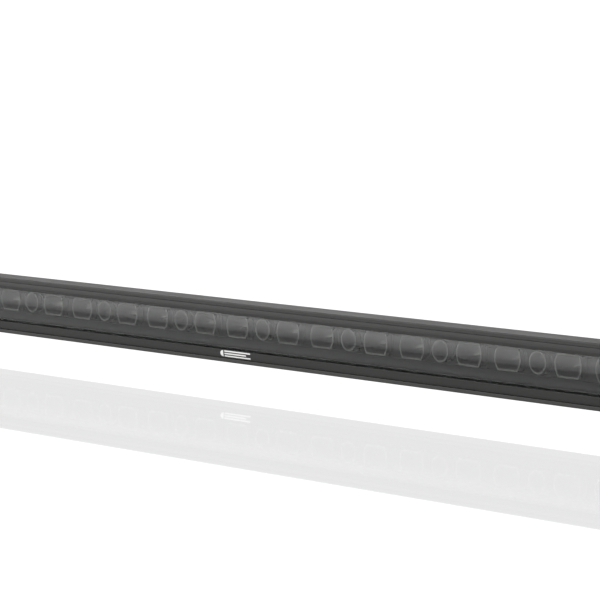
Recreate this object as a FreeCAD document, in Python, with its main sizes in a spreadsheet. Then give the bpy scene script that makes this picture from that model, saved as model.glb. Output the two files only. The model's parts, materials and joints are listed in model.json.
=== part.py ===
import FreeCAD, Part
import math
import os
import re
import Sketcher

# LED light bar for a truck or trailer: a finned aluminium housing closed by a curved
# clear lens between two bezel rails, with rows of reflectors, LED boards and a driver
# inside, tilting on one M8 bolt at each end between two L-shaped mounting brackets.
#
# Row frame, millimetres: +X along the bar, the lens faces -Y, +Z up. The origin is
# midway between the two feet, on the surface that they stand on.

V = FreeCAD.Vector
doc = FreeCAD.newDocument("led_light_bar")
nodes = []

# ------------------------------------------------------------------ driving dimensions
SIZES = {
    # overall
    "bar_length": 1018, "bar_height": 57, "bar_lift": 21.5, "front_y": -40, "fin_tip_y": 40,
    # housing extrusion: level above and below as far as the shoulder, then tapering back
    "lip_y": -38, "wall": 3.6, "lip_round": 1.2, "shoulder_y": -9.5, "taper": 9.5,
    "base_front": 14.1, "base_back": 18, "bore_runout": 0.15, "rear_front": 27, "rear_back": 30,
    "channel_taper": 4.5, "chamber_inset": 10,
    "fin_thick": 2, "fin_pitch": 6, "fin_gaps": 6,
    "port_round": 4.2, "port_bore": 1.9, "front_port_y": -12, "front_port_inset": 7,
    "rear_port_y": 22.5, "rear_port_inset": 11.7,
    "snap_depth": 0.6, "snap_front": -27.1, "snap_back": -25.9,
    # end caps, gaskets and their screws
    "cap_thick": 9, "cap_round": 5, "cap_edge": 1.5, "gasket_thick": 1,
    "cap_screw_head": 3.8, "cap_screw_clear": 2.2, "cap_screw_sink": 4,
    "cap_screw_thick": 2.6, "cap_screw_long": 14.4, "cap_screw_round": 0.7,
    "cap_socket": 3, "cap_socket_deep": 1.5,
    # bezel rails
    "rail_front": -37.5, "rail_lip": -33.4, "rail_gap_back": -34, "rail_leg_back": -24,
    "rail_gap": 0.6, "rail_leg": 3.4, "top_face": 49, "top_fall": 0.6, "top_bend": 9,
    "bottom_fall": 1, "bottom_bend": 40,
    "bead_front": -27, "bead_back": -26, "bead_high": 0.5,
    # lens
    "lens_low": 11.8, "lens_high": 45.4, "lens_peak": -40, "lens_edge": -35,
    "lens_thick": 2.5, "lens_gap": 0.1,
    "flange_back": -30.6, "flange_reach": 3.2,
    # inner trims (an upright plate, a sloping shelf and a short leg) and lens seals
    "trim_front": -29.4, "trim_back": -27.4, "trim_leg": 2, "trim_leg_end": -18,
    "trim_outer": 7.1, "shelf_front": 13.6, "shelf_rear": 18, "shelf_thick": 1.6,
    "seal_width": 2.6, "seal_inset": 0.6,
    # reflector cells: each group is one small flood bowl and two large spot bowls
    "cell_axis": 30.5, "group_pitch": 120, "group_count": 8, "flood_pitch": 24.8,
    "spot_pitch": 47.6, "module_count": 4, "module_gap": 0.4, "cup_wall": 1.6,
    "mouth_y": -10, "plate_back": 12, "cup_height": 21, "bowl_floor": 9.4,
    "spot_mouth": 14.2, "spot_throat": 3.8, "spot_bend": 26,
    "flood_mouth": 8.5, "flood_throat": 3.4, "flood_bend": 60,
    "ear_width": 8, "ear_reach": 18, "ear_screw": 15,
    # mask in front of the reflectors
    "mask_front": -1.4, "mask_thick": 1.2, "mask_height": 31, "mask_clear": 0.25,
    # LED boards, pads, LEDs and optics
    "board_thick": 1.6, "board_height": 36, "pad_thick": 0.5, "board_screw_x": 116,
    "board_screw_z": 15, "screw_clear": 1.7,
    "spot_led": 5, "spot_led_thick": 0.9, "spot_dome": 1.9,
    "flood_led": 3.5, "flood_led_thick": 0.7, "flood_dome": 1.4,
    "optic_foot": 11.8, "optic_neck": 8.7, "optic_radius": 3.2, "optic_hollow": 2.6,
    "optic_hollow_deep": 2.3,
    # small screws inside
    "small_shank": 1.48, "small_bore": 1.5, "small_head": 2.5, "small_head_thick": 2,
    "small_socket": 2, "small_socket_deep": 1.1, "small_break": 0.4,
    # links between the boards
    "link_block": 5, "link_block_high": 3.4, "link_reach": 6.5, "link_lead": 0.6,
    "link_lead_long": 8, "link_lead_rise": 1.9, "link_lead_spread": 2.2,
    # driver
    "driver_x": -330, "driver_long": 150, "driver_high": 24, "driver_front": 24,
    "driver_back": 25.6, "driver_screw_x": 69, "driver_screw_z": 9, "driver_bore_end": 29.5,
    "feed_x": -277.6, "feed_z": 20.5, "feed_round": 4, "feed_pin": 0.8, "feed_spread": 3,
    "inductor": 10, "inductor_high": 5, "capacitor": 4, "capacitor_high": 5.4,
    "chip_long": 6, "chip_wide": 5, "chip_high": 1.6, "terminal_long": 8,
    "terminal_wide": 10, "terminal_high": 5,
    # cable gland and breather
    "gland_x": -455, "gland_z": 28.5, "thread": 5.95, "gland_flats": 17, "gland_bore": 4.2,
    "cable_bore": 3, "fin_notch": 30, "gland_flange": 4.5, "gland_tail": 3.5,
    "gland_top": 12, "gland_seal_low": 2, "gland_seal_top": 13.6, "gland_nut_low": 5.5,
    "gland_nut_high": 11, "gland_tip": 17, "gland_dome": 9, "gland_lip": 1.4,
    "lock_nut": 3, "vent_x": 455, "vent_thread": 2.95, "vent_head": 6, "vent_tail": 4,
    "vent_side": 2.6, "vent_top": 3.6, "vent_bevel": 1,
    # tilting joint and brackets
    "pivot_z": 28.5, "pivot_shank": 3.97, "pivot_bore": 4, "pivot_depth": 8,
    "spacer_thick": 1, "spacer_round": 12, "play": 0.05, "bolt_flats": 13, "bolt_head": 5.3,
    "flat_washer": 1.6, "flat_washer_round": 8, "spring_washer": 2, "spring_washer_round": 7,
    "washer_fit": 0.25, "spring_slit": 1.2, "bolt_break": 0.8, "bolt_crown": 0.3,
    "bracket_width": 25, "bracket_thick": 3, "bend_inner": 3, "bracket_hole": 4.05,
    "foot_end": 552, "foot_corner": 5, "slot_x": 534, "slot_long": 20, "slot_wide": 8.5,
}

sheet = doc.addObject("Spreadsheet::Sheet", "Sizes")
for row, (alias, amount) in enumerate(SIZES.items(), start=1):
    sheet.set(f"A{row}", alias)
    sheet.set(f"B{row}", str(amount))
    sheet.setAlias(f"B{row}", alias)
doc.recompute()


# --------------------------------------------------------------------------- helpers
def cells(expression):
    """Turn an expression in plain aliases into one that names the sheet."""
    return re.sub(r"\b[a-z_]\w*\b(?!\()", lambda word: "Sizes." + word.group(), str(expression))


def value(expression):
    """Work out an expression in plain aliases."""
    return float(sheet.evalExpression(cells(expression)))


def bind(thing, field, expression):
    thing.setExpression(field, cells(expression))


def new_body(label):
    body = doc.addObject("PartDesign::Body", label)
    body.Label = label
    return body


def new_sketch(body, name, plane, offset=None, across=None):
    """Attach a sketch to one of its body's origin planes, moved along its normal or its X."""
    sketch = body.newObject("Sketcher::SketchObject", f"{body.Name}_{name}")
    sketch.AttachmentSupport = (next(
        f for f in body.Origin.OriginFeatures if f.Role == plane), [""])
    sketch.MapMode = "FlatFace"
    for axis, amount in (("z", offset), ("x", across)):
        if amount is not None:
            bind(sketch, f"AttachmentOffset.Base.{axis}", amount)
    return sketch


def pin_to(sketch, side, end, x, y):
    """Hold one end of a side at (x, y) from the sketch's origin."""
    for kind, amount in (("DistanceX", x), ("DistanceY", y)):
        place = sketch.addConstraint(Sketcher.Constraint(kind, -1, 1, side, end, value(amount)))
        bind(sketch, f"Constraints[{place}]", amount)


def draw_outline(sketch, corners):
    """Draw a closed outline through corners (x, y) or (x, y, bend).

    A bend is the radius of the side that starts there: positive bulges to the right of
    the direction of travel, negative to the left.
    """
    spots = [V(value(c[0]), value(c[1]), 0) for c in corners]
    first = sketch.GeometryCount
    ends = []
    for k, corner in enumerate(corners):
        start, stop = spots[k], spots[(k + 1) % len(spots)]
        if len(corner) == 2:
            sketch.addGeometry(Part.LineSegment(start, stop))
            ends.append((1, 2))
            continue
        bend = value(corner[2])
        chord = stop - start
        sagitta = abs(bend) - math.sqrt(bend ** 2 - (chord.Length / 2) ** 2)
        outward = V(chord.y, -chord.x, 0).normalize() * math.copysign(sagitta, bend)
        run = (start, stop) if bend > 0 else (stop, start)
        sketch.addGeometry(Part.Arc(run[0], (start + stop) / 2 + outward, run[1]))
        ends.append((1, 2) if bend > 0 else (2, 1))
    for k, corner in enumerate(corners):
        side, after = first + k, (k + 1) % len(corners)
        sketch.addConstraint(Sketcher.Constraint(
            "Coincident", side, ends[k][1], first + after, ends[after][0]))
        pin_to(sketch, side, ends[k][0], corner[0], corner[1])
        if len(corner) == 3:
            place = sketch.addConstraint(Sketcher.Constraint("Radius", side, abs(value(corner[2]))))
            bind(sketch, f"Constraints[{place}]", f"abs({corner[2]})")


def draw_rectangle(sketch, x_low, x_high, y_low, y_high):
    draw_outline(sketch, [(x_low, y_low), (x_high, y_low), (x_high, y_high), (x_low, y_high)])


def draw_circle(sketch, x, y, radius):
    side = sketch.addGeometry(Part.Circle(V(value(x), value(y), 0), V(0, 0, 1), value(radius)))
    pin_to(sketch, side, 3, x, y)
    place = sketch.addConstraint(Sketcher.Constraint("Radius", side, value(radius)))
    bind(sketch, f"Constraints[{place}]", radius)


def draw_hexagon(sketch, flats):
    corner = f"{flats} / 2 / 0.8660254"
    draw_outline(sketch, [
        (f"{x} * {corner}", f"{y} * {corner}") for x, y in
        ((1, 0), (0.5, 0.8660254), (-0.5, 0.8660254), (-1, 0), (-0.5, -0.8660254),
         (0.5, -0.8660254))])


def feature(body, kind, sketch, length=None, both_ways=False, reverse=False):
    """Add a pad or pocket of a sketch; a pocket that removes nothing is an error."""
    item = body.newObject(f"PartDesign::{kind}", f"{sketch.Name}_{kind}")
    item.Profile = sketch
    if length is not None:
        bind(item, "Length", length)
    if both_ways:
        item.SideType = "Symmetric"
    item.Reversed = reverse
    sketch.Visibility = False
    check_change(body, item, kind)
    return item


def check_change(body, item, kind):
    before = item.BaseFeature.Shape.Volume if item.BaseFeature else 0
    doc.recompute()
    change = item.Shape.Volume - before
    grows = kind in ("Pad", "Revolution")
    if (change > 0) != grows or abs(change) < 1e-6:
        raise ValueError(f"{item.Name} changed the volume by {change}")


def spin(body, kind, sketch, axis="V_Axis"):
    """Add a full revolution or groove of a sketch about one of its own axes."""
    item = body.newObject(f"PartDesign::{kind}", f"{sketch.Name}_{kind}")
    item.Profile = sketch
    item.ReferenceAxis = (sketch, [axis])
    item.Angle = 360
    check_change(body, item, kind)
    return item


def repeat(body, originals, role, step, count):
    """Repeat features in a row along one of the body's origin axes."""
    row = body.newObject("PartDesign::LinearPattern", f"{originals[0].Name}_row")
    row.Originals = originals
    row.Direction = (next(f for f in body.Origin.OriginFeatures if f.Role == role), [""])
    row.Mode = "Spacing"
    bind(row, "Offset", step)
    bind(row, "Occurrences", count)
    body.Tip = row
    doc.recompute()
    return row


def round_edges(body, radius, wanted):
    """Fillet the edges of the body whose middle point passes the test."""
    base = body.Tip
    names = []
    for number, edge in enumerate(base.Shape.Edges, start=1):
        middle = edge.valueAt((edge.FirstParameter + edge.LastParameter) / 2)
        if wanted(middle, edge):
            names.append(f"Edge{number}")
    if not names:
        raise ValueError(f"{body.Name} has no edge to round")
    item = body.newObject("PartDesign::Fillet", f"{base.Name}_round")
    item.Base = (base, names)
    bind(item, "Radius", radius)
    doc.recompute()
    return item


def place(thing, x=0, y=0, z=0, facing=V(0, 0, 1)):
    """Put a piece at (x, y, z), with its own +Z turned to face a direction."""
    thing.Placement = FreeCAD.Placement(
        V(value(x), value(y), value(z)), FreeCAD.Rotation(V(0, 0, 1), facing))
    for axis, amount in zip("xyz", (x, y, z)):
        bind(thing, f"Placement.Base.{axis}", amount)


def keep(thing, label=None):
    """Name a finished sub-part and list it for writing."""
    if label:
        thing.Label = label
    nodes.append(thing)
    return thing


def group(label, template, spots, facing=V(0, 0, 1)):
    """Make one node of equal separate solids, each facing the same way."""
    turn = FreeCAD.Rotation(V(0, 0, 1), facing)
    copies = []
    for spot in spots:
        copy = template.Shape.copy()
        where = FreeCAD.Placement(V(*[value(s) for s in spot]), turn)
        copy.Placement = where.multiply(template.Shape.Placement)
        copies.append(copy)
    item = doc.addObject("Part::Feature", label)
    item.Shape = Part.makeCompound(copies)
    return keep(item)


def along_bar(label, corners, half_length="bar_length / 2 - cap_thick - gasket_thick"):
    """Extrude a section, drawn in Y and height above the bar's underside, along X."""
    body = new_body(label)
    sketch = new_sketch(body, "section", "YZ_Plane")
    draw_outline(sketch, corners)
    feature(body, "Pad", sketch, f"2 * ({half_length})", both_ways=True)
    place(body, z="bar_lift")
    return body


def turned(label, profile):
    """Revolve a profile (radius, height) about Z."""
    body = new_body(label)
    sketch = new_sketch(body, "profile", "XZ_Plane")
    draw_outline(sketch, profile)
    spin(body, "Revolution", sketch)
    return body


def cut_socket(body, flats, top, depth):
    """Sink a hexagonal socket into the top of a turned piece."""
    sketch = new_sketch(body, "socket", "XY_Plane", top)
    draw_hexagon(sketch, flats)
    feature(body, "Pocket", sketch, depth)


def cut_flats(body, flats, low, high):
    """Leave six flats between two heights of a turned piece."""
    sketch = new_sketch(body, f"flats_{len(body.Group)}", "XY_Plane", high)
    draw_circle(sketch, 0, 0, f"{flats}")
    draw_hexagon(sketch, flats)
    feature(body, "Pocket", sketch, f"({high}) - ({low})")


BAR_HALF = "(bar_length / 2 - cap_thick - gasket_thick)"
BACK = V(0, 1, 0)
FRONT = V(0, -1, 0)
HEX_CORNER = 1.13  # reach over half a hexagon's flats at which its corners are just turned


# -------------------------------------------------------------------- reflector grid
def group_start(index):
    """Left edge of a group of cells."""
    return f"{index} * group_pitch - (group_count * group_pitch + flood_pitch) / 2"


def spot_centres(start):
    return [f"{start} + flood_pitch + {k} * spot_pitch" for k in (0.5, 1.5)]


def flood_centre(start):
    return f"{start} + flood_pitch / 2"


def module_length(index):
    """The last module also carries the cell that closes the row."""
    closing = " + flood_pitch" if index == SIZES["module_count"] - 1 else ""
    return "2 * group_pitch" + closing


def flood_cells(index):
    return 3 if index == SIZES["module_count"] - 1 else 2


def ear_screws():
    """Screw places through a module's ears, from the module's own start."""
    middle = "flood_pitch + spot_pitch"
    return [(f"{middle} + {k} * group_pitch", f"{up} * ear_screw")
            for k in (0, 1) for up in (-1, 1)]


def board_screws():
    return [("board_screw_x", f"{up} * board_screw_z") for up in (-1, 1)]


CELL_Z = "bar_lift + cell_axis"


# --------------------------------------------------------------------------- housing
def bar_outline(front):
    """Six-cornered outline of the bar's section, seen along X."""
    return [
        (front, 0), ("shoulder_y", 0), ("fin_tip_y", "taper"),
        ("fin_tip_y", "bar_height - taper"), ("shoulder_y", "bar_height"), (front, "bar_height")]


def make_housing():
    body = new_body("housing_extrusion")
    outer = new_sketch(body, "outer", "YZ_Plane")
    draw_outline(outer, bar_outline("lip_y"))
    feature(body, "Pad", outer, f"2 * {BAR_HALF}", both_ways=True)

    channel = new_sketch(body, "channel", "YZ_Plane")
    low, high = "wall", "bar_height - wall"
    draw_outline(channel, [
        ("lip_y - 1", low), ("snap_front", low), ("snap_front", f"{low} - snap_depth"),
        ("snap_back", f"{low} - snap_depth"), ("snap_back", low), ("shoulder_y", low),
        ("base_front", f"{low} + channel_taper"), ("base_front", f"{high} - channel_taper"),
        ("shoulder_y", high), ("snap_back", high), ("snap_back", f"{high} + snap_depth"),
        ("snap_front", f"{high} + snap_depth"), ("snap_front", high), ("lip_y - 1", high)])
    feature(body, "Pocket", channel, "bar_length", both_ways=True)

    chamber = new_sketch(body, "chamber", "YZ_Plane")
    draw_rectangle(chamber, "base_back", "rear_front", "chamber_inset",
                   "bar_height - chamber_inset")
    feature(body, "Pocket", chamber, "bar_length", both_ways=True)

    fin_gap = new_sketch(body, "fin_gap", "YZ_Plane")
    draw_rectangle(fin_gap, "rear_back", "fin_tip_y + 1", "taper + fin_thick", "taper + fin_pitch")
    gap = feature(body, "Pocket", fin_gap, "bar_length", both_ways=True)
    repeat(body, [gap], "Z_Axis", "fin_pitch", "fin_gaps")

    bosses = new_sketch(body, "ports", "YZ_Plane")
    bores = new_sketch(body, "port_bores", "YZ_Plane")
    for y, z in cap_screw_spots():
        draw_circle(bosses, y, z, "port_round")
        draw_circle(bores, y, z, "port_bore")
    feature(body, "Pad", bosses, f"2 * {BAR_HALF}", both_ways=True)
    feature(body, "Pocket", bores, "bar_length", both_ways=True)

    base_bores = new_sketch(body, "base_bores", "XZ_Plane", "-(base_front - 1)")
    for index in range(SIZES["module_count"]):
        for x, z in ear_screws() + board_screws():
            draw_circle(base_bores, f"{group_start(2 * index)} + {x}", f"cell_axis + {z}",
                        "small_bore")
    draw_circle(base_bores, "feed_x", "feed_z", "feed_round")
    feature(body, "Pocket", base_bores, "base_back - base_front + 1 + bore_runout")

    driver_bores = new_sketch(body, "driver_bores", "XZ_Plane", "-(base_back + 1)")
    for x, z in driver_screws():
        draw_circle(driver_bores, x, z, "small_bore")
    feature(body, "Pocket", driver_bores, "driver_bore_end - base_back - 1")

    notches = new_sketch(body, "fin_notches", "XZ_Plane", "-rear_back")
    for x in ("gland_x", "vent_x"):
        draw_rectangle(notches, f"{x} - fin_notch / 2", f"{x} + fin_notch / 2",
                       "taper + fin_thick + fin_pitch", "taper + 5 * fin_pitch")
    feature(body, "Pocket", notches, "bar_height")
    rear_bores = new_sketch(body, "rear_bores", "XZ_Plane", "-(base_back + 1)")
    draw_circle(rear_bores, "gland_x", "gland_z", "thread + 0.1")
    draw_circle(rear_bores, "vent_x", "gland_z", "vent_thread + 0.1")
    feature(body, "Pocket", rear_bores, "bar_height")

    lip, top = value("lip_y"), value("bar_height")
    round_edges(body, "lip_round", lambda m, e: abs(m.y - lip) < 0.01 and e.Length > 500
                and min(m.z, top - m.z) < 0.01)
    place(body, z="bar_lift")
    keep(body)


def end_plate(label, side, inner_x, thickness):
    """Plate across the bar's end with the end cap's outline, growing outwards."""
    body = new_body(label)
    sketch = new_sketch(body, "outline", "YZ_Plane", f"{side} * ({inner_x})")
    draw_outline(sketch, bar_outline("front_y"))
    feature(body, "Pad", sketch, thickness, reverse=side < 0)
    reach, thick = value("fin_tip_y"), value(thickness)
    round_edges(body, "cap_round", lambda m, e: abs(abs(m.y) - reach) < 0.01
                and abs(e.Length - thick) < 0.01)
    place(body, z="bar_lift")
    return body


def cap_screw_spots():
    return [(f"{end}_port_y", z) for end in ("front", "rear")
            for z in (f"{end}_port_inset", f"bar_height - {end}_port_inset")]


def make_end(side, name):
    """End cap, its gasket and its four screws."""
    outward = V(side, 0, 0)
    outer_face = "bar_length / 2"
    gasket = end_plate(f"{name}_end_gasket", side, BAR_HALF, "gasket_thick")
    gasket_holes = new_sketch(gasket, "holes", "YZ_Plane", f"{side} * {BAR_HALF}")
    for y, z in cap_screw_spots():
        draw_circle(gasket_holes, y, z, "cap_screw_clear")
    feature(gasket, "Pocket", gasket_holes, "gasket_thick", reverse=side > 0)
    keep(gasket)

    cap = end_plate(f"{name}_end_cap", side, "bar_length / 2 - cap_thick", "cap_thick")
    face = f"{side} * {outer_face}"
    holes = new_sketch(cap, "holes", "YZ_Plane", face)
    sinks = new_sketch(cap, "sinks", "YZ_Plane", face)
    for y, z in cap_screw_spots():
        draw_circle(holes, y, z, "cap_screw_clear")
        draw_circle(sinks, y, z, "cap_screw_head + 0.4")
    feature(cap, "Pocket", holes, "cap_thick", reverse=side < 0)
    feature(cap, "Pocket", sinks, "cap_screw_sink", reverse=side < 0)
    pivot = new_sketch(cap, "pivot", "YZ_Plane", face)
    draw_circle(pivot, 0, "pivot_z", "pivot_bore")
    feature(cap, "Pocket", pivot, "pivot_depth", reverse=side < 0)
    edge_x, hole_reach = side * value(outer_face), value("cap_screw_head + 0.5")
    round_edges(cap, "cap_edge", lambda m, e: abs(m.x - edge_x) < 0.01
                and not (e.Curve.TypeId == "Part::GeomCircle" and e.Curve.Radius < hole_reach))
    keep(cap)

    shank, tip = "port_bore - 0.02", "-(cap_screw_long)"
    screw = turned(f"{name}_cap_screw_pattern", [
        (0, "cap_screw_thick"), ("cap_screw_head - cap_screw_round", "cap_screw_thick"),
        ("cap_screw_head", "cap_screw_thick - cap_screw_round"), ("cap_screw_head", 0),
        (shank, 0), (shank, tip), (0, tip)])
    cut_socket(screw, "cap_socket", "cap_screw_thick", "cap_socket_deep")
    group(f"{name}_cap_screws", screw, [
        (f"{side} * ({outer_face} - cap_screw_sink)", y, f"bar_lift + {z}")
        for y, z in cap_screw_spots()], outward)


# ------------------------------------------------------------------- front of the bar
def make_front():
    high = "bar_height - wall"
    top_rail = along_bar("top_bezel_rail", [
        ("rail_front + top_fall", f"{high} - rail_gap", "top_bend"), ("rail_front", "top_face"),
        ("lens_edge", "lens_high + lens_gap"), ("rail_lip", "lens_high + lens_gap"),
        ("rail_lip", f"{high} - rail_leg"), ("rail_leg_back", f"{high} - rail_leg"),
        ("rail_leg_back", high), ("bead_back", high), ("bead_back", f"{high} + bead_high"),
        ("bead_front", f"{high} + bead_high"), ("bead_front", high), ("rail_gap_back", high),
        ("rail_gap_back", f"{high} - rail_gap")])
    keep(top_rail)
    bottom_rail = along_bar("bottom_bezel_rail", [
        ("rail_front + bottom_fall", "wall + rail_gap", "-bottom_bend"),
        ("rail_front", "lens_low - lens_gap"), ("rail_lip", "lens_low - lens_gap"),
        ("rail_lip", "wall + rail_leg"), ("rail_leg_back", "wall + rail_leg"),
        ("rail_leg_back", "wall"), ("bead_back", "wall"), ("bead_back", "wall - bead_high"),
        ("bead_front", "wall - bead_high"), ("bead_front", "wall"), ("rail_gap_back", "wall"),
        ("rail_gap_back", "wall + rail_gap")])
    keep(bottom_rail)

    # The lens is bent on a circle through its peak and the two edges of its window, with
    # short side walls that end in the clamped flanges.
    half, rise = "((lens_high - lens_low) / 2)", "(lens_edge - lens_peak)"
    bend = f"(({half} ^ 2 + {rise} ^ 2) / 2 / {rise})"
    inner, inner_half = f"({bend} - lens_thick)", f"({half} - lens_thick)"
    inner_edge = f"({bend} + lens_peak - sqrt({inner} ^ 2 - {inner_half} ^ 2))"
    middle = "(lens_low + lens_high) / 2"
    lens = along_bar("lens", [
        ("lens_edge", "lens_low", f"-({bend})"), ("lens_edge", "lens_high"),
        ("rail_lip", "lens_high"), ("rail_lip", "lens_high + flange_reach"),
        ("flange_back", "lens_high + flange_reach"), ("flange_back", f"{middle} + {inner_half}"),
        (inner_edge, f"{middle} + {inner_half}", inner), (inner_edge, f"{middle} - {inner_half}"),
        ("flange_back", f"{middle} - {inner_half}"), ("flange_back", "lens_low - flange_reach"),
        ("rail_lip", "lens_low - flange_reach"), ("rail_lip", "lens_low")])
    keep(lens)

    upper, lower = "lens_high + seal_inset", "lens_low - seal_inset"
    for label, start, stop in (
            ("upper_lens_seal", upper, f"{upper} + seal_width"),
            ("lower_lens_seal", f"{lower} - seal_width", lower)):
        keep(along_bar(label, [
            ("flange_back", start), ("trim_front", start), ("trim_front", stop),
            ("flange_back", stop)]))

    # Each inner trim is an upright plate with a short leg against the housing and a shelf
    # sloping back to the mask.
    for label, edge, inward, shelf_front, shelf_rear in (
            ("lower_inner_trim", "trim_outer", "+", "shelf_front", "shelf_rear"),
            ("upper_inner_trim", "bar_height - trim_outer", "-",
             "(lens_low + lens_high - shelf_front)", "(2 * cell_axis - shelf_rear)")):
        outward = "-" if inward == "+" else "+"
        keep(along_bar(label, [
            ("trim_front", edge), ("trim_leg_end", edge),
            ("trim_leg_end", f"{edge} {inward} trim_leg"),
            ("trim_back", f"{edge} {inward} trim_leg"),
            ("trim_back", f"{shelf_front} {outward} shelf_thick"),
            ("mask_front", f"{shelf_rear} {outward} shelf_thick"),
            ("mask_front", shelf_rear), ("trim_front", shelf_front)]))


# ------------------------------------------------------------------ reflector modules
# A module's own origin is the centre of its first flood bowl.
LOCAL_START = "-flood_pitch / 2"


def module_x(index):
    return f"{group_start(2 * index)} + flood_pitch / 2"


def module_edges(index):
    """Left and right edge of a module, from its own origin."""
    return (f"{LOCAL_START} + module_gap / 2",
            f"{LOCAL_START} + {module_length(index)} - module_gap / 2")


def place_module(body, index, z=CELL_Z):
    place(body, x=module_x(index), z=z)
    keep(body)


def add_bowl(body, name, centre, trimmed):
    """Add a revolved reflector bowl with a straight throat for its light source.

    A trimmed bowl is cut flat at the module's height and closed there by flat walls.
    """
    mouth, throat, bend = f"{name}_mouth", f"{name}_throat", f"{name}_bend"
    label = f"{name}_{len(body.Group)}"
    shell = new_sketch(body, f"{label}_shell", "XY_Plane", across=centre)
    draw_outline(shell, [
        (mouth, "mouth_y"), (f"{mouth} + cup_wall", "mouth_y", bend),
        (f"{throat} + cup_wall", "plate_back"), (throat, "plate_back"),
        (throat, "bowl_floor", f"-{bend}")])
    made = [spin(body, "Revolution", shell)]
    if trimmed:
        trim = new_sketch(body, f"{label}_trim", "XZ_Plane", "-plate_back")
        walls = new_sketch(body, f"{label}_walls", "XZ_Plane", "-plate_back")
        reach, half = f"({mouth} + cup_wall + 1)", "cup_height / 2"
        wall_reach = f"sqrt(({mouth} + cup_wall) ^ 2 - ({half}) ^ 2)"
        for low, high in ((half, reach), (f"-{reach}", f"-{half}")):
            draw_rectangle(trim, f"{centre} - {reach}", f"{centre} + {reach}", low, high)
        for low, high in ((f"{half} - cup_wall", half), (f"-{half}", f"-({half} - cup_wall)")):
            draw_rectangle(walls, f"{centre} - {wall_reach}", f"{centre} + {wall_reach}", low, high)
        made.append(feature(body, "Pocket", trim, "plate_back - mouth_y + 1", reverse=True))
        made.append(feature(body, "Pad", walls, "plate_back - mouth_y"))
    hole = new_sketch(body, f"{label}_hole", "XZ_Plane", "-plate_back")
    draw_circle(hole, centre, 0, throat)
    made.append(feature(body, "Pocket", hole, "plate_back - bowl_floor", reverse=True))
    return made


def make_reflector(index):
    """One metallised moulding: base plate with ears, large spot and small flood bowls."""
    body = new_body(f"reflector_module_{index + 1}")
    left, right = module_edges(index)
    plate = new_sketch(body, "plate", "XZ_Plane", "-plate_back")
    draw_rectangle(plate, left, right, "-cup_height / 2", "cup_height / 2")
    feature(body, "Pad", plate, "cup_wall")
    ears = new_sketch(body, "ears", "XZ_Plane", "-plate_back")
    for x in (f"{LOCAL_START} + {ear_x}" for ear_x, _ in ear_screws()[::2]):
        draw_rectangle(ears, f"{x} - ear_width / 2", f"{x} + ear_width / 2",
                       "-ear_reach", "ear_reach")
    feature(body, "Pad", ears, "cup_wall")
    ear_holes = new_sketch(body, "ear_holes", "XZ_Plane", "-plate_back")
    for x, z in ear_screws():
        draw_circle(ear_holes, f"{LOCAL_START} + {x}", z, "screw_clear")
    feature(body, "Pocket", ear_holes, "2 * cup_wall", reverse=True)

    spots = [item for centre in spot_centres(LOCAL_START)
             for item in add_bowl(body, "spot", centre, trimmed=True)]
    repeat(body, spots, "X_Axis", "group_pitch", 2)
    floods = add_bowl(body, "flood", 0, trimmed=False)
    repeat(body, floods, "X_Axis", "group_pitch", flood_cells(index))
    place_module(body, index)


def make_mask():
    """Black plate that surrounds every bowl in front."""
    body = new_body("reflector_mask")
    plate = new_sketch(body, "plate", "XZ_Plane", "-mask_front")
    draw_rectangle(plate, f"-{BAR_HALF}", BAR_HALF, "-mask_height / 2", "mask_height / 2")
    feature(body, "Pad", plate, "mask_thick", reverse=True)
    spots = new_sketch(body, "spot_windows", "XZ_Plane", "-mask_front")
    reach, tall = "(spot_mouth + cup_wall + mask_clear)", "(cup_height / 2 + mask_clear)"
    side = f"sqrt({reach} ^ 2 - {tall} ^ 2)"
    for centre in spot_centres(group_start(0)):
        draw_outline(spots, [
            (f"{centre} - {side}", f"-{tall}"), (f"{centre} + {side}", f"-{tall}", reach),
            (f"{centre} + {side}", tall), (f"{centre} - {side}", tall, reach)])
    spot_cut = feature(body, "Pocket", spots, "mask_thick")
    repeat(body, [spot_cut], "X_Axis", "group_pitch", "group_count")
    floods = new_sketch(body, "flood_windows", "XZ_Plane", "-mask_front")
    draw_circle(floods, flood_centre(group_start(0)), 0, "flood_mouth + cup_wall + mask_clear")
    flood_cut = feature(body, "Pocket", floods, "mask_thick")
    repeat(body, [flood_cut], "X_Axis", "group_pitch", "group_count + 1")
    place(body, z=CELL_Z)
    keep(body)


# ------------------------------------------------------------ LED boards, pads and LEDs
def flat_board(label, index, front, thickness, holes):
    """Strip as long as a module, with round holes (x, z, radius) through it."""
    body = new_body(label)
    left, right = module_edges(index)
    outline = new_sketch(body, "outline", "XZ_Plane", f"-({front})")
    draw_rectangle(outline, left, right, "-board_height / 2", "board_height / 2")
    feature(body, "Pad", outline, thickness, reverse=True)
    drilled = new_sketch(body, "holes", "XZ_Plane", f"-({front})")
    for x, z, radius in holes:
        draw_circle(drilled, f"{LOCAL_START} + {x}", z, radius)
    feature(body, "Pocket", drilled, thickness)
    place_module(body, index)


def make_board_and_pad(index):
    holes = [(x, z, "screw_clear") for x, z in ear_screws() + board_screws()]
    flat_board(f"led_board_{index + 1}", index, "plate_back", "board_thick", holes)
    if index == 0:
        holes = holes + [(f"feed_x - ({group_start(0)})", "feed_z - cell_axis", "feed_round")]
    flat_board(f"thermal_pad_{index + 1}", index, "plate_back + board_thick", "pad_thick", holes)


def domed_led(label, width, thick, dome):
    """Square ceramic package with a round silicone dome; +Z is the way it shines."""
    package = doc.addObject("Part::Box", f"{label}_package")
    for field, amount in (("Length", width), ("Width", width), ("Height", thick)):
        bind(package, field, amount)
    place(package, f"-{width} / 2", f"-{width} / 2", 0)
    ball = doc.addObject("Part::Sphere", f"{label}_dome")
    bind(ball, "Radius", dome)
    ball.Angle1 = 0
    place(ball, z=thick)
    led = doc.addObject("Part::Fuse", label)
    led.Base, led.Tool = package, ball
    doc.recompute()
    return led


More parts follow.
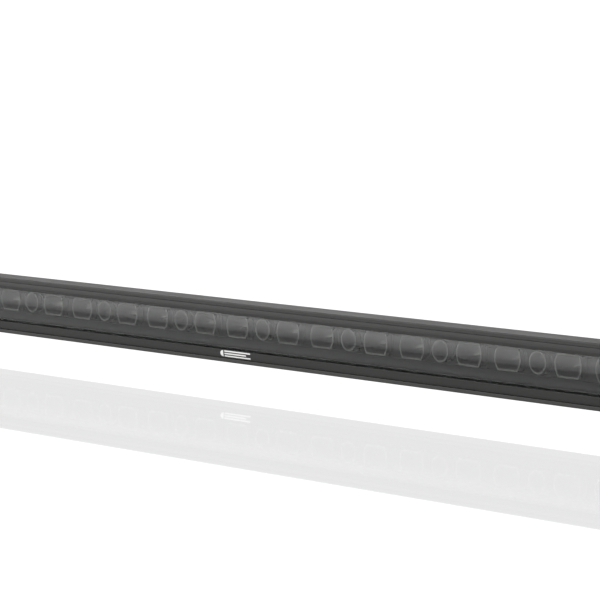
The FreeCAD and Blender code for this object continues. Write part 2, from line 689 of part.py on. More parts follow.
def make_leds():
    groups = range(SIZES["group_count"])
    spots = [c for index in groups for c in spot_centres(group_start(index))]
    floods = [flood_centre(group_start(index)) for index in range(SIZES["group_count"] + 1)]
    spot = domed_led("spot_led_pattern", "spot_led", "spot_led_thick", "spot_dome")
    flood = domed_led("flood_led_pattern", "flood_led", "flood_led_thick", "flood_dome")
    group("spot_leds", spot, [(x, "plate_back", CELL_Z) for x in spots], FRONT)
    group("flood_leds", flood, [(x, "plate_back", CELL_Z) for x in floods], FRONT)

    rod = doc.addObject("Part::Cylinder", "optic_rod")
    bind(rod, "Radius", "optic_radius")
    bind(rod, "Height", "optic_foot - optic_neck")
    tip = doc.addObject("Part::Sphere", "optic_tip")
    bind(tip, "Radius", "optic_radius")
    tip.Angle1 = 0
    place(tip, z="optic_foot - optic_neck")
    outside = doc.addObject("Part::Fuse", "optic_outside")
    outside.Base, outside.Tool = rod, tip
    hollow = doc.addObject("Part::Cylinder", "optic_hollow_space")
    bind(hollow, "Radius", "optic_hollow")
    bind(hollow, "Height", "optic_hollow_deep")
    optic = doc.addObject("Part::Cut", "flood_optic_pattern")
    optic.Base, optic.Tool = outside, hollow
    doc.recompute()
    group("flood_optics", optic, [(x, "optic_foot", CELL_Z) for x in floods], FRONT)


def small_screw(label, length):
    """Cheese-head screw with a hexagonal socket; the head's underside is at z = 0."""
    screw = turned(label, [
        (0, "small_head_thick"), (0, f"-({length})"), ("small_shank", f"-({length})"),
        ("small_shank", 0), ("small_head", 0), ("small_head", "small_head_thick - small_break"),
        ("small_head - small_break", "small_head_thick")])
    cut_socket(screw, "small_socket", "small_head_thick", "small_socket_deep")
    return screw


def make_inner_screws():
    modules = range(SIZES["module_count"])
    ear = small_screw("reflector_screw_pattern", "base_back - 0.5 - plate_back + cup_wall")
    group("reflector_screws", ear, [
        (f"{group_start(2 * m)} + {x}", "plate_back - cup_wall", f"{CELL_Z} + {z}")
        for m in modules for x, z in ear_screws()], FRONT)
    board = small_screw("led_board_screw_pattern", "base_back - 0.5 - plate_back")
    group("led_board_screws", board, [
        (f"{group_start(2 * m)} + {x}", "plate_back", f"{CELL_Z} + {z}")
        for m in modules for x, z in board_screws()], FRONT)


def box(label, long, deep, high):
    """Block centred on X and Y, standing on z = 0."""
    block = doc.addObject("Part::Box", label)
    for field, amount in (("Length", long), ("Width", deep), ("Height", high)):
        bind(block, field, amount)
    place(block, f"-({long}) / 2", f"-({deep}) / 2", 0)
    doc.recompute()
    return block


def rod(label, radius, length):
    cylinder = doc.addObject("Part::Cylinder", label)
    bind(cylinder, "Radius", radius)
    bind(cylinder, "Height", length)
    doc.recompute()
    return cylinder


def make_board_links():
    """Connectors beside each joint between two boards, and the leads that bridge it."""
    joints = [group_start(2 * m) for m in range(1, SIZES["module_count"])]
    height = f"{CELL_Z} - board_screw_z"
    connector = box("board_connector_pattern", "link_block", "link_block", "link_block_high")
    group("board_connectors", connector, [
        (f"{x} + {side} * link_reach", "plate_back", height)
        for x in joints for side in (-1, 1)], FRONT)
    lead = rod("board_lead_pattern", "link_lead", "link_lead_long")
    group("board_link_leads", lead, [
        (f"{x} - link_lead_long / 2", "plate_back - link_lead_rise",
         f"{height} + {up} * link_lead_spread / 2")
        for x in joints for up in (-1, 1)], V(1, 0, 0))


# ---------------------------------------------------------------------------- driver
def driver_screws():
    return [(f"driver_x + {x} * driver_screw_x", f"pivot_z + {z} * driver_screw_z")
            for x in (-1, 1) for z in (-1, 1)]


def make_driver():
    body = new_body("driver_board")
    outline = new_sketch(body, "outline", "XZ_Plane", "-driver_front")
    draw_rectangle(outline, "driver_x - driver_long / 2", "driver_x + driver_long / 2",
                   "pivot_z - driver_high / 2", "pivot_z + driver_high / 2")
    feature(body, "Pad", outline, "driver_back - driver_front", reverse=True)
    holes = new_sketch(body, "holes", "XZ_Plane", "-driver_front")
    for x, z in driver_screws():
        draw_circle(holes, x, z, "screw_clear")
    feature(body, "Pocket", holes, "driver_back - driver_front")
    place(body, z="bar_lift")
    keep(body)

    standoff = turned("driver_standoff_pattern", [
        ("screw_clear", 0), ("small_shank * 2", 0),
        ("small_shank * 2", "rear_front - driver_back"),
        ("screw_clear", "rear_front - driver_back")])
    group("driver_standoffs", standoff, [
        (x, "driver_back", f"bar_lift + {z}") for x, z in driver_screws()], BACK)
    screw = small_screw("driver_screw_pattern", "driver_bore_end - 0.3 - driver_front")
    group("driver_screws", screw, [
        (x, "driver_front", f"bar_lift + {z}") for x, z in driver_screws()], FRONT)

    # What the board carries: a pattern, its places along the board and its height on it.
    parts = {
        "driver_inductors": (box("inductor_pattern", "inductor", "inductor", "inductor_high"),
                             (-34, -8, 20), 5),
        "driver_capacitors": (rod("capacitor_pattern", "capacitor", "capacitor_high"),
                              (-46, -21, 6, 32), 2),
        "driver_chips": (box("chip_pattern", "chip_long", "chip_wide", "chip_high"),
                         (-45, -10, 20, 44), -8),
        "driver_terminal": (box("terminal_pattern", "terminal_long", "terminal_wide",
                                "terminal_high"), (-58,), 0),
    }
    for label, (pattern, places, up) in parts.items():
        group(label, pattern, [
            (f"driver_x + {along}", "driver_front", f"bar_lift + pivot_z + {up}")
            for along in places], FRONT)

    pin = rod("feed_pin_pattern", "feed_pin", "driver_front - plate_back - board_thick")
    height = "bar_lift + feed_z"
    group("feed_pins", pin, [
        ("feed_x", "driver_front", f"{height} + {up} * feed_spread / 2") for up in (-1, 1)], FRONT)
    grommet = new_body("feed_grommet")
    plug = new_sketch(grommet, "plug", "XY_Plane")
    draw_circle(plug, 0, 0, "feed_round - 0.05")
    for up in (-1, 1):
        draw_circle(plug, 0, f"{up} * feed_spread / 2", "feed_pin + 0.1")
    feature(grommet, "Pad", plug, "base_back - base_front")
    place(grommet, "feed_x", "base_back", height, FRONT)
    keep(grommet)


# --------------------------------------------------------------- cable gland and vent
def make_gland():
    seat = ("gland_x", "rear_back", "bar_lift + gland_z")
    inner_face = "-(rear_back - rear_front)"
    tail, nut_end = f"{inner_face} - gland_tail", f"{inner_face} - lock_nut"
    corner, nut_bore = f"gland_flats / 2 * {HEX_CORNER}", "thread + 0.05"
    pocket, pocket_top = "cable_bore + gland_lip", "gland_seal_top + 0.1"
    body = turned("gland_body", [
        ("gland_bore", tail), ("thread", tail), ("thread", 0), (corner, 0),
        (corner, "gland_flange"), ("thread", "gland_flange"), ("thread", "gland_top"),
        ("gland_bore", "gland_top")])
    cut_flats(body, "gland_flats", 0, "gland_flange")
    seal = turned("gland_seal", [
        ("cable_bore", "gland_seal_low"), ("gland_bore - 0.05", "gland_seal_low"),
        ("gland_bore - 0.05", "gland_top"), ("thread - 0.4", "gland_seal_top"),
        ("cable_bore", "gland_seal_top")])
    dome = turned("gland_dome_nut", [
        (nut_bore, "gland_nut_low"), (corner, "gland_nut_low"), (corner, "gland_nut_high"),
        ("gland_flats / 2 - 0.3", "gland_nut_high", "gland_dome"), ("thread - 0.5", "gland_tip"),
        (pocket, "gland_tip"), (pocket, pocket_top), (nut_bore, pocket_top)])
    cut_flats(dome, "gland_flats", "gland_nut_low", "gland_nut_high")
    lock = turned("gland_lock_nut", [
        (nut_bore, nut_end), (corner, nut_end), (corner, inner_face), (nut_bore, inner_face)])
    cut_flats(lock, "gland_flats", nut_end, inner_face)
    vent = turned("breather_vent", [
        (0, "-vent_tail"), ("vent_thread", "-vent_tail"), ("vent_thread", 0), ("vent_head", 0),
        ("vent_head", "vent_side"), ("vent_head - vent_bevel", "vent_top"), (0, "vent_top")])
    for piece in (body, seal, dome, lock):
        place(piece, *seat, BACK)
        keep(piece)
    place(vent, "vent_x", "rear_back", "bar_lift + gland_z", BACK)
    keep(vent)


# ---------------------------------------------------------------- tilting joint parts
def make_bracket(side, name):
    """L-shaped strip: a leg beside the bar's end and a slotted foot pointing outwards."""
    body = new_body(f"{name}_bracket")
    leg_in = "(bar_length / 2 + spacer_thick + play)"
    leg_out = f"({leg_in} + bracket_thick)"
    bend_out = "(bend_inner + bracket_thick)"
    top = "(bar_lift + pivot_z + bracket_width / 2)"
    profile = new_sketch(body, "profile", "XZ_Plane")
    corners = [
        (leg_in, top), (leg_in, bend_out, f"{side} * {bend_out}"), (f"{leg_in} + {bend_out}", 0),
        ("foot_end", 0), ("foot_end", "bracket_thick"),
        (f"{leg_in} + {bend_out}", "bracket_thick", f"{-side} * bend_inner"),
        (leg_out, bend_out), (leg_out, top)]
    draw_outline(profile, [(f"{side} * ({c[0]})",) + c[1:] for c in corners])
    feature(body, "Pad", profile, "bracket_width", both_ways=True)

    end_x, top_z = side * value("foot_end"), value(top)
    round_edges(body, "bracket_width / 2 - 0.01", lambda m, e: abs(m.z - top_z) < 0.01
                and abs(m.y) > 1)
    round_edges(body, "foot_corner", lambda m, e: abs(m.x - end_x) < 0.01 and abs(m.y) > 1)

    hole = new_sketch(body, "pivot_hole", "YZ_Plane", f"{side} * {leg_out}")
    draw_circle(hole, 0, "bar_lift + pivot_z", "bracket_hole")
    feature(body, "Pocket", hole, "bracket_thick", reverse=side < 0)
    straight, radius = "(slot_long / 2 - slot_wide / 2)", "slot_wide / 2"
    middle = f"{side} * slot_x"
    slot = new_sketch(body, "slot", "XY_Plane")
    draw_rectangle(slot, f"{middle} - {straight}", f"{middle} + {straight}", f"-{radius}", radius)
    feature(body, "Pocket", slot, "bracket_thick", reverse=True)
    ends = new_sketch(body, "slot_ends", "XY_Plane")
    for way in (-1, 1):
        draw_circle(ends, f"{middle} + {way} * {straight}", 0, radius)
    feature(body, "Pocket", ends, "bracket_thick", reverse=True)
    keep(body)


def ring(label, inner, outer, thickness):
    return turned(label, [(inner, 0), (outer, 0), (outer, thickness), (inner, thickness)])


def make_pivot(side, name):
    """Spacer, washers and bolt on the tilting axis, from the end cap outwards."""
    outward = V(side, 0, 0)
    shank_hole = "pivot_shank + washer_fit"
    spacer_x = "bar_length / 2"
    washer_x = f"{spacer_x} + spacer_thick + bracket_thick + 2 * play"
    spring_x = f"{washer_x} + flat_washer"
    head_x = f"{spring_x} + spring_washer"
    spacer = ring(f"{name}_spacer", shank_hole, "spacer_round", "spacer_thick")
    washer = ring(f"{name}_flat_washer", shank_hole, "flat_washer_round", "flat_washer")
    spring = ring(f"{name}_spring_washer", shank_hole, "spring_washer_round", "spring_washer")
    slit = new_sketch(spring, "slit", "XY_Plane")
    draw_rectangle(slit, 0, "spring_washer_round + 1", "-spring_slit / 2", "spring_slit / 2")
    feature(spring, "Pocket", slit, "spring_washer", reverse=True)

    tip, corner = f"-({head_x} - bar_length / 2 + pivot_depth - 0.5)", f"bolt_flats / 2 * {HEX_CORNER}"
    bolt = turned(f"{name}_pivot_bolt", [
        (0, tip), ("pivot_shank - bolt_break", tip), ("pivot_shank", f"{tip} + bolt_break"),
        ("pivot_shank", 0), (corner, 0), (corner, "bolt_head - bolt_break"),
        ("bolt_flats / 2 - bolt_crown", "bolt_head"), (0, "bolt_head")])
    cut_flats(bolt, "bolt_flats", 0, "bolt_head")
    for piece, x in ((spacer, spacer_x), (washer, washer_x), (spring, spring_x), (bolt, head_x)):
        place(piece, f"{side} * ({x})", 0, "bar_lift + pivot_z", outward)
        keep(piece)


# ------------------------------------------------------------------------- the build
make_housing()
make_front()
for module in range(SIZES["module_count"]):
    make_reflector(module)
    make_board_and_pad(module)
make_mask()
make_leds()
make_inner_screws()
make_board_links()
make_driver()
make_gland()
for side, name in ((-1, "left"), (1, "right")):
    make_end(side, name)
    make_bracket(side, name)
    make_pivot(side, name)
doc.recompute()

for thing in doc.Objects:
    if {"Invalid", "Error"} & set(thing.State):
        raise ValueError(f"{thing.Name} failed: {thing.State}")
for thing in nodes:
    if thing.Shape.isNull() or not thing.Shape.isValid():
        raise ValueError(f"{thing.Label} has no valid shape")
if len({thing.Label for thing in nodes}) != len(nodes):
    raise ValueError("two sub-parts share a name")

os.makedirs("parts", exist_ok=True)
for thing in nodes:
    thing.Shape.exportStep(f"parts/{thing.Label}.step")
print(f"{len(nodes)} sub-parts written")
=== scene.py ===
import json
import math

import bpy
import bmesh
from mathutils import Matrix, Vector
from mathutils.bvhtree import BVHTree


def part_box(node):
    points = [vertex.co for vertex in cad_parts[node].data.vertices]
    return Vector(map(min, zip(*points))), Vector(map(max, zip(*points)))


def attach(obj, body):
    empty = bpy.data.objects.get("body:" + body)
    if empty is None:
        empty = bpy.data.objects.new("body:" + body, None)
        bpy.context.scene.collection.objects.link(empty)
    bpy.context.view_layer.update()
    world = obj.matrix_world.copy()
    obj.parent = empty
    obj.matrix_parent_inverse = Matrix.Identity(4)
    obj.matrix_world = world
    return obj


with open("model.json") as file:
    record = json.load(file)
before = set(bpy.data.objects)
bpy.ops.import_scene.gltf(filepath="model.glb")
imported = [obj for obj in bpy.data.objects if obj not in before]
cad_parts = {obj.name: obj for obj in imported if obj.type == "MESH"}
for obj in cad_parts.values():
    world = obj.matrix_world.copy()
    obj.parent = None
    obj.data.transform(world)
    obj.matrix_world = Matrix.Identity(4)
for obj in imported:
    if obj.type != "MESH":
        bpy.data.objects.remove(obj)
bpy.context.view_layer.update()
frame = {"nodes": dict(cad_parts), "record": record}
nodes = frame["nodes"]
MM = 0.001

# ------------------------------------------------------------------ node material helpers


class Graph:
    """Short calls for building one material's node tree."""

    SHADER_SOCKETS = {
        "base": "Base Color", "rough": "Roughness", "metal": "Metallic", "normal": "Normal",
        "ior": "IOR", "coat": "Coat Weight", "specular": "Specular IOR Level",
        "through": "Transmission Weight"}

    def __init__(self, name):
        self.material = bpy.data.materials.new(name)
        self.material.use_nodes = True
        self.tree = self.material.node_tree
        self.shader = self.tree.nodes["Principled BSDF"]
        self.output = self.tree.nodes["Material Output"]
        self.place = self.tree.nodes.new("ShaderNodeTexCoord").outputs["Object"]

    def feed(self, socket, given):
        """Link a socket to another one, or set its own value."""
        if isinstance(given, bpy.types.NodeSocket):
            self.tree.links.new(given, socket)
        elif socket.type == "RGBA":
            socket.default_value = (*given, 1)
        else:
            socket.default_value = given

    def add(self, kind, inputs, **settings):
        node = self.tree.nodes.new("ShaderNode" + kind)
        for key, given in settings.items():
            setattr(node, key, given)
        for key, given in inputs.items():
            self.feed(node.inputs[key], given)
        return node

    def noise(self, scale, detail=3.0, rough=0.55, stretch=(1, 1, 1)):
        """Noise between 0 and 1; scale is in cycles per metre before the stretch."""
        mapped = self.add("Mapping", {"Vector": self.place, "Scale": stretch})
        return self.add("TexNoise", {
            "Vector": mapped.outputs[0], "Scale": scale, "Detail": detail,
            "Roughness": rough}).outputs["Fac"]

    def band(self, fac, low, high, to_low=0.0, to_high=1.0):
        """Remap of a value, held at both ends."""
        return self.add("MapRange", {
            "Value": fac, "From Min": low, "From Max": high, "To Min": to_low,
            "To Max": to_high}).outputs["Result"]

    def around(self, fac, middle, below, above):
        """A number that noise spreads a little to both sides."""
        return self.band(fac, 0.3, 0.7, middle - below, middle + above)

    def mix(self, fac, first, second):
        """Blend of two colours."""
        colour_a, colour_b, result = 6, 7, 2
        node = self.add("Mix", {"Factor": fac}, data_type="RGBA")
        self.feed(node.inputs[colour_a], first)
        self.feed(node.inputs[colour_b], second)
        return node.outputs[result]

    def maths(self, operation, first, second):
        return self.add("Math", {0: first, 1: second}, operation=operation).outputs[0]

    def bump(self, height, distance, strength):
        return self.add("Bump", {"Height": height, "Distance": distance,
                                 "Strength": strength}).outputs["Normal"]

    def edges(self, radius):
        """Near 1 on edges, 0 on flats."""
        still_flat, fully_edge = 0.99, 0.8
        soft = self.add("Bevel", {"Radius": radius}, samples=4).outputs["Normal"]
        flat = self.add("NewGeometry", {}).outputs["Normal"]
        turned = self.add("VectorMath", {0: soft, 1: flat}, operation="DOT_PRODUCT")
        return self.band(turned.outputs["Value"], still_flat, fully_edge)

    def worn_edges(self, radius, patches, to_low, to_high):
        """Edges rubbed bare in patches; patches is a noise with its two ends."""
        return self.maths("MULTIPLY", self.edges(radius), self.band(*patches, to_low, to_high))

    def set(self, **inputs):
        for key, given in inputs.items():
            self.feed(self.shader.inputs[self.SHADER_SOCKETS[key]], given)
        return self.material


def drawn_black(name, dark, light, specular=0.26):
    """Black anodised extrusion: fine lines drawn along X, dull spots and rubbed edges."""
    rough, rubbed_grey, paler = 0.44, (0.22, 0.22, 0.21), 1.35
    g = Graph(name)
    lines = g.noise(1.0, detail=4, rough=0.6, stretch=(6, 1600, 1600))
    cloud = g.noise(22, rough=0.5, stretch=(0.35, 1, 1))
    dust = g.noise(900, detail=2, rough=0.6)
    tone = g.mix(g.band(lines, 0.3, 0.7), dark, light)
    tone = g.mix(g.maths("MULTIPLY", g.band(cloud, 0.5, 0.75), 0.35), tone,
                 tuple(paler * c for c in light))
    tone = g.mix(g.worn_edges(0.5 * MM, (g.noise(160), 0.4, 0.7), 0.2, 0.35), tone, rubbed_grey)
    blend = g.maths("ADD", g.band(lines, 0.25, 0.75, rough - 0.05, rough + 0.06),
                    g.band(cloud, 0.3, 0.7, -0.03, 0.05))
    height = g.maths("ADD", lines, g.maths("MULTIPLY", dust, 0.5))
    return g.set(base=tone, rough=blend, specular=specular,
                 normal=g.bump(height, 0.02 * MM, 0.35))


def powder_coat(name, dark, light, grain=1400, worn=0.5):
    """Powder coated metal: orange peel with fine sparkle and rubbed edges."""
    rough, rubbed_grey = 0.5, (0.32, 0.31, 0.3)
    g = Graph(name)
    peel = g.noise(grain, detail=2, rough=0.5)
    cloud = g.noise(35, rough=0.5)
    tone = g.mix(g.band(cloud, 0.35, 0.7), dark, light)
    tone = g.mix(g.worn_edges(0.6 * MM, (g.noise(220), 0.45, 0.65), 0.0, worn), tone, rubbed_grey)
    return g.set(base=tone, rough=g.around(peel, rough, 0.08, 0.08),
                 normal=g.bump(peel, 0.06 * MM, 0.5))


def moulded(name, dark, light, rough, grain=700, depth=0.03, **extra):
    """Moulded plastic or rubber with a fine texture, depth in mm, and slight unevenness."""
    g = Graph(name)
    fine, cloud = g.noise(grain, rough=0.6), g.noise(40, detail=2, rough=0.5)
    tone = g.mix(g.band(cloud, 0.3, 0.7), dark, light)
    return g.set(base=tone, rough=g.around(fine, rough, 0.07, 0.07),
                 normal=g.bump(fine, depth * MM, 0.4), **extra)


def bare_metal(name, dark, light, rough, stretch=(1, 1, 1)):
    """Plated or stainless metal with brushed grain, smears and tiny scratches."""
    g = Graph(name)
    grain_lines = g.noise(900, rough=0.6, stretch=stretch)
    smear = g.noise(120, rough=0.5)
    tone = g.mix(g.band(smear, 0.35, 0.7), dark, light)
    uneven = g.maths("ADD", g.around(grain_lines, rough, 0.06, 0.08),
                     g.band(smear, 0.4, 0.7, -0.03, 0.06))
    return g.set(base=tone, rough=uneven, metal=1.0,
                 normal=g.bump(grain_lines, 0.015 * MM, 0.4))


def clear_cover(name):
    """Hard-coated clear lens: gloss that grows towards grazing over a see-through body."""
    least_gloss, grazing_gloss, falloff = 0.02, 0.8, 5.0
    g = Graph(name)
    ripple = g.noise(9, detail=2, rough=0.4, stretch=(0.6, 1, 1))
    specks = g.noise(2600, detail=1, rough=0.4)
    bumpy = g.bump(ripple, 0.05 * MM, 0.1)
    haze = g.band(specks, 0.5, 0.8, 0.15, 0.24)
    clear = g.add("BsdfTransparent", {"Color": (0.84, 0.85, 0.84)})
    shine = g.add("BsdfGlossy", {"Color": (1, 1, 1), "Roughness": haze, "Normal": bumpy})
    facing = g.add("LayerWeight", {"Blend": 0.5, "Normal": bumpy}).outputs["Facing"]
    gloss = g.maths("ADD", g.maths("MULTIPLY", g.maths("POWER", facing, falloff),
                                   grazing_gloss), least_gloss)
    both = g.add("MixShader", {0: gloss, 1: clear.outputs[0], 2: shine.outputs[0]})
    g.tree.nodes.remove(g.shader)
    g.feed(g.output.inputs["Surface"], both.outputs[0])
    return g.material


def mirror_plastic(name, dark, light):
    """Vacuum-metallised plastic: smooth, a little wavy, with faint dust and a painted highlight
    on the rims.
    """
    g = Graph(name)
    wave, dust = g.noise(260, detail=2, rough=0.5), g.noise(1800, detail=2, rough=0.6)
    tone = g.mix(g.band(dust, 0.5, 0.8), dark, light)
    # Painted highlight: edges within 1.2 mm take the paler tone, as if the rims caught the light.
    tone = g.mix(g.edges(1.2 * MM), tone, light)
    return g.set(base=tone, metal=1.0, rough=g.band(dust, 0.4, 0.8, 0.12, 0.3),
                 normal=g.bump(wave, 0.05 * MM, 0.3))


def circuit_board(name, mask, trace, pitch):
    """Solder mask over a grid of copper traces that stand a little proud."""
    g = Graph(name)
    mapped = g.add("Mapping", {"Vector": g.place, "Scale": (1, 0.001, 1)})
    bricks = g.add("TexBrick", {
        "Vector": mapped.outputs[0], "Scale": 1.0, "Mortar Size": 0.12 * pitch,
        "Brick Width": 3.1 * pitch, "Row Height": pitch, "Color1": (1, 1, 1),
        "Color2": (0.8, 0.8, 0.8), "Mortar": (0, 0, 0)}).outputs["Fac"]
    fine = g.noise(1200, detail=2, rough=0.5)
    return g.set(base=g.mix(bricks, mask, trace), rough=g.band(fine, 0.3, 0.7, 0.25, 0.42),
                 normal=g.bump(bricks, 0.04 * MM, 0.3))


def phosphor(name):
    """Yellow phosphor of an LED under a thin clear coat."""
    g = Graph(name)
    grit = g.noise(4000, rough=0.7)
    tone = g.mix(g.band(grit, 0.3, 0.7), (0.80, 0.62, 0.16), (0.88, 0.74, 0.30))
    return g.set(base=tone, rough=g.band(grit, 0.3, 0.7, 0.18, 0.35), coat=0.6,
                 normal=g.bump(grit, 0.02 * MM, 0.4))


def printing_ink(name, dark, light):
    """Matt ink with a fine grain."""
    g = Graph(name)
    grain = g.noise(1500, rough=0.6)
    return g.set(base=g.mix(g.band(grain, 0.35, 0.7), dark, light),
                 rough=g.band(grain, 0.3, 0.7, 0.4, 0.55), normal=g.bump(grain, 0.02 * MM, 0.3))


MATERIALS = {
    "black_anodised": drawn_black("black_anodised", (0.013, 0.0132, 0.0124),
                                  (0.020, 0.0203, 0.0190)),
    "black_cast": powder_coat("black_cast", (0.016, 0.0165, 0.016), (0.024, 0.0245, 0.023)),
    "bracket_black": powder_coat("bracket_black", (0.014, 0.0145, 0.014),
                                 (0.022, 0.022, 0.021), grain=1700, worn=0.7),
    "clear_lens": clear_cover("clear_lens"),
    "black_trim": moulded("black_trim", (0.007, 0.0072, 0.007), (0.011, 0.0112, 0.011),
                          rough=0.55, specular=0.2),
    "metallised": mirror_plastic("metallised", (0.10, 0.10, 0.098), (0.15, 0.15, 0.147)),
    "silicone": moulded("silicone", (0.020, 0.020, 0.020), (0.032, 0.032, 0.031),
                        rough=0.62, grain=1100),
    "board": circuit_board("board", (0.74, 0.75, 0.72), (0.62, 0.60, 0.55), pitch=4 * MM),
    "pad": moulded("pad", (0.36, 0.40, 0.43), (0.46, 0.50, 0.52), rough=0.75, grain=500,
                   depth=0.08),
    "led": phosphor("led"),
    "clear_optic": moulded("clear_optic", (0.90, 0.92, 0.92), (0.97, 0.98, 0.98), rough=0.09,
                           grain=300, depth=0.01, through=0.85, ior=1.49),
    "zinc_steel": bare_metal("zinc_steel", (0.50, 0.50, 0.47), (0.66, 0.66, 0.62), rough=0.34),
    "stainless": bare_metal("stainless", (0.48, 0.48, 0.47), (0.62, 0.62, 0.60), rough=0.27,
                            stretch=(1, 6, 6)),
    "board_green": circuit_board("board_green", (0.018, 0.11, 0.05), (0.05, 0.20, 0.09),
                                 pitch=3 * MM),
    "component_black": moulded("component_black", (0.022, 0.022, 0.023),
                               (0.036, 0.036, 0.037), rough=0.5, grain=1500),
    "component_silver": bare_metal("component_silver", (0.62, 0.62, 0.62),
                                   (0.76, 0.76, 0.76), rough=0.3, stretch=(1, 1, 9)),
    "copper": bare_metal("copper", (0.62, 0.42, 0.25), (0.78, 0.60, 0.42), rough=0.28),
    "nylon_black": moulded("nylon_black", (0.026, 0.026, 0.026), (0.040, 0.040, 0.039),
                           rough=0.48, grain=900, depth=0.04),
}

for row in frame["record"]["subparts"]:
    piece = nodes[row["node"]]
    piece.data.materials.clear()
    piece.data.materials.append(MATERIALS[row["material_slot"]])

# Painted shade: the lower rail gets a darker, less shiny copy of the housing's anodising,
# standing in for the dimmer light on its down-facing front.
nodes["bottom_bezel_rail"].data.materials[0] = drawn_black(
    "painted_shade_anodised", (0.0095, 0.0096, 0.0091), (0.0150, 0.0152, 0.0143), specular=0.19)

# ------------------------------------------------------------------ printed mark
# A plain lamp-and-rays pictogram on the lower rail's front, near the bar's middle.

MARK_X, MARK_ABOVE_BAR_LOW = -7.7 * MM, 8.2 * MM
MARK_WIDTH, MARK_HEIGHT = 43 * MM, 6 * MM


def add_object(name, data):
    thing = bpy.data.objects.new(name, data)
    bpy.context.scene.collection.objects.link(thing)
    return thing


def printed_mark(name, under, centre, width, height):
    """Raised ink that follows the front of the piece under it."""
    lift, sunk, clearance = 0.06 * MM, 0.02 * MM, 1 * MM
    bm = bmesh.new()
    skin = BVHTree.FromPolygons([under.matrix_world @ v.co for v in under.data.vertices],
                                [list(p.vertices) for p in under.data.polygons])

    def on_front(x, z):
        ahead = Vector((centre.x + x, centre.y - clearance, centre.z + z))
        return skin.ray_cast(ahead, Vector((0, 1, 0)))[0] or skin.find_nearest(ahead)[0]

    def slab(rows):
        """Closed slab through rows of (left end, right end, height)."""
        rings = []
        for left, right, level in rows:
            a, b = on_front(left, level), on_front(right, level)
            rings.append([bm.verts.new(p) for p in (
                (a.x, a.y - lift, a.z), (b.x, b.y - lift, b.z),
                (b.x, b.y + sunk, b.z), (a.x, a.y + sunk, a.z))])
        for low, high in zip(rings, rings[1:]):
            for i in range(4):
                j = (i + 1) % 4
                bm.faces.new((low[i], low[j], high[j], high[i]))
        bm.faces.new(rings[0][::-1])
        bm.faces.new(rings[-1])

    # The lamp: a half-round back that bulges to the left of a short straight front.
    half, lamp_steps = height / 2, 12
    bulge = 1.25 * half
    lamp_middle = bulge - width / 2
    lamp_front, ray_start = lamp_middle + 0.15 * half, lamp_middle + 0.7 * half
    levels = [2 * k / lamp_steps - 1 for k in range(lamp_steps + 1)]
    slab([(lamp_middle - bulge * math.sqrt(1 - k * k), lamp_front, k * half) for k in levels])

    # Its three rays, of which the middle one is shorter.
    ray_high, shorter = height / 4.6, 0.14 * width
    outer = half - ray_high / 2
    for middle, cut in ((outer, 0), (0, shorter), (-outer, 0)):
        slab([(ray_start, width / 2 - cut, middle + side * ray_high / 2) for side in (-1, 1)])
    bm.normal_update()
    mesh = bpy.data.meshes.new(name)
    bm.to_mesh(mesh)
    bm.free()
    mesh.materials.append(printing_ink(name, (0.44, 0.44, 0.43), (0.54, 0.54, 0.53)))
    return add_object(name, mesh)


rail_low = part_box("bottom_bezel_rail")[0]
bar_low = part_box("housing_extrusion")[0]
mark = printed_mark("printed_mark", nodes["bottom_bezel_rail"],
                    Vector((MARK_X, rail_low.y, bar_low.z + MARK_ABOVE_BAR_LOW)),
                    MARK_WIDTH, MARK_HEIGHT)
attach(mark, "light_bar")

# ------------------------------------------------------------------ floor

FLOOR_SPAN, FLOOR_DROP = 30.0, 0.05 * MM
FLOOR_GLOW, FLOOR_MIRROR, FLOOR_MIRROR_ROUGH = 0.87, 0.2, 0.02


def pale_floor(name):
    """Nearly white glossy sheet that mirrors the bar faintly."""
    g = Graph(name)
    matt = g.add("BsdfDiffuse", {"Color": (0.05, 0.05, 0.0505)})
    lit = g.add("Emission", {"Color": (1, 1, 1), "Strength": FLOOR_GLOW})
    shine = g.add("BsdfGlossy", {"Color": (1, 1, 1), "Roughness": FLOOR_MIRROR_ROUGH})
    body = g.add("AddShader", {0: matt.outputs[0], 1: lit.outputs[0]})
    both = g.add("MixShader", {0: FLOOR_MIRROR, 1: body.outputs[0], 2: shine.outputs[0]})
    g.feed(g.output.inputs["Surface"], both.outputs[0])
    mesh = bpy.data.meshes.new(name)
    mesh.from_pydata([(x * FLOOR_SPAN, y * FLOOR_SPAN, 0)
                      for x, y in ((-1, -1), (1, -1), (1, 1), (-1, 1))], [], [(0, 1, 2, 3)])
    mesh.materials.append(g.material)
    sheet = add_object(name, mesh)
    sheet.location.z = -FLOOR_DROP
    return sheet


floor = pale_floor("floor")

# ------------------------------------------------------------------ room and light

world = bpy.data.worlds.new("studio")
bpy.context.scene.world = world
world.use_nodes = True
tree = world.node_tree
direction = tree.nodes.new("ShaderNodeTexCoord").outputs["Generated"]


def room_share(toward, low, high, to_low, to_high):
    """Value that rises with how far a direction points a given way."""
    along = tree.nodes.new("ShaderNodeVectorMath")
    along.operation = "DOT_PRODUCT"
    tree.links.new(direction, along.inputs[0])
    along.inputs[1].default_value = toward
    rise = tree.nodes.new("ShaderNodeMapRange")
    rise.interpolation_type = "SMOOTHSTEP"
    for key, given in (("From Min", low), ("From Max", high), ("To Min", to_low),
                       ("To Max", to_high)):
        rise.inputs[key].default_value = given
    tree.links.new(along.outputs["Value"], rise.inputs["Value"])
    return rise.outputs["Result"]


def room_maths(operation, first, second):
    node = tree.nodes.new("ShaderNodeMath")
    node.operation = operation
    for socket, given in zip(node.inputs, (first, second)):
        if isinstance(given, float):
            socket.default_value = given
        else:
            tree.links.new(given, socket)
    return node.outputs[0]


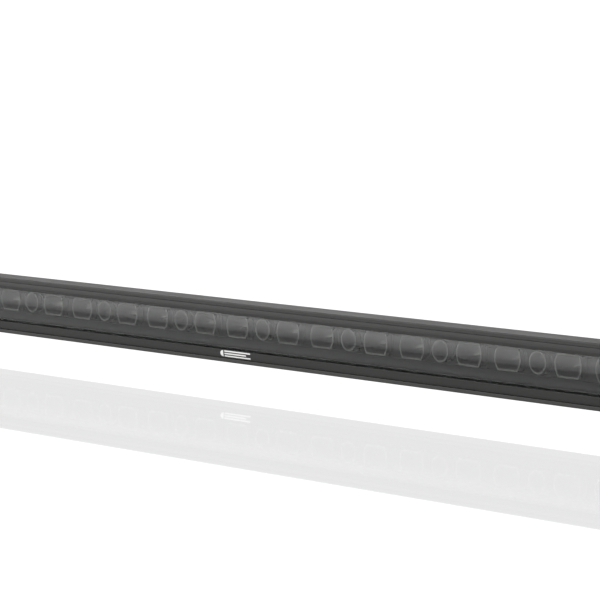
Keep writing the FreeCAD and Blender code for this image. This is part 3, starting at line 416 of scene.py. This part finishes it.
# The room is white: brightest overhead, brighter to the left and low down ahead of the lens,
# and dim high up behind the bar.
UP, BEHIND, LEFT, AHEAD = (0, 0, 1), (-0.74, 0.67, 0), (-1, 0, 0), (0, -1, 0)
ceiling = room_share(UP, 0.0, 0.55, 1.1, 3.0)
left_wall = room_share(LEFT, 0.5, 0.75, 1.0, 1.45)
high_behind = room_maths("MULTIPLY", room_share(BEHIND, 0.17, 0.5, 0.0, 1.0),
                         room_share(UP, 0.17, 0.24, 0.0, 0.95))
low_ahead = room_maths("MULTIPLY", room_share(AHEAD, 0.3, 0.6, 0.0, 0.3),
                       room_share(UP, 0.12, 0.45, 1.0, 0.0))
walls = room_maths("ADD", room_maths("SUBTRACT", 1.0, high_behind), low_ahead)
strength = room_maths("MULTIPLY", walls, room_maths("MULTIPLY", ceiling, left_wall))
background = tree.nodes["Background"]
background.inputs["Color"].default_value = (1.0, 1.0, 1.0, 1)
tree.links.new(strength, background.inputs["Strength"])


def turn_towards(thing, way):
    thing.rotation_mode = "QUATERNION"
    thing.rotation_quaternion = way.to_track_quat("-Z", "Y")


def softbox(name, place, aim, side, watts):
    """Square area light."""
    light = bpy.data.lights.new(name, "AREA")
    light.shape, light.size, light.size_y = "RECTANGLE", side, side
    light.energy = watts
    lamp = add_object(name, light)
    lamp.location = place
    turn_towards(lamp, Vector(aim) - Vector(place))


softbox("overhead", place=(-2.2, -0.6, 2.4), aim=(0, 0, 0.05), side=2.6, watts=15)

# ------------------------------------------------------------------ camera
# The aim is measured from the middle, the front and the lower edge of the housing.

VIEW_AZIMUTH, VIEW_ELEVATION = math.radians(48.05), math.radians(5.535)
VIEW_DISTANCE, LENS_LENGTH, SENSOR_WIDTH = 2.9704, 190.6, 36.0
AIM_X, AIM_DEPTH, AIM_HEIGHT = 50.1 * MM, 31 * MM, 62.3 * MM
NEAR, FAR = 0.05, 200.0

target = Vector((AIM_X, bar_low.y + AIM_DEPTH, bar_low.z + AIM_HEIGHT))
back = Vector((math.sin(VIEW_AZIMUTH) * math.cos(VIEW_ELEVATION),
               -math.cos(VIEW_AZIMUTH) * math.cos(VIEW_ELEVATION), math.sin(VIEW_ELEVATION)))
camera_data = bpy.data.cameras.new("camera")
camera_data.lens, camera_data.sensor_width = LENS_LENGTH, SENSOR_WIDTH
camera_data.clip_start, camera_data.clip_end = NEAR, FAR
camera = add_object("camera", camera_data)
camera.location = target + back * VIEW_DISTANCE
turn_towards(camera, -back)
bpy.context.scene.camera = camera
bpy.context.scene.view_settings.view_transform = "Standard"
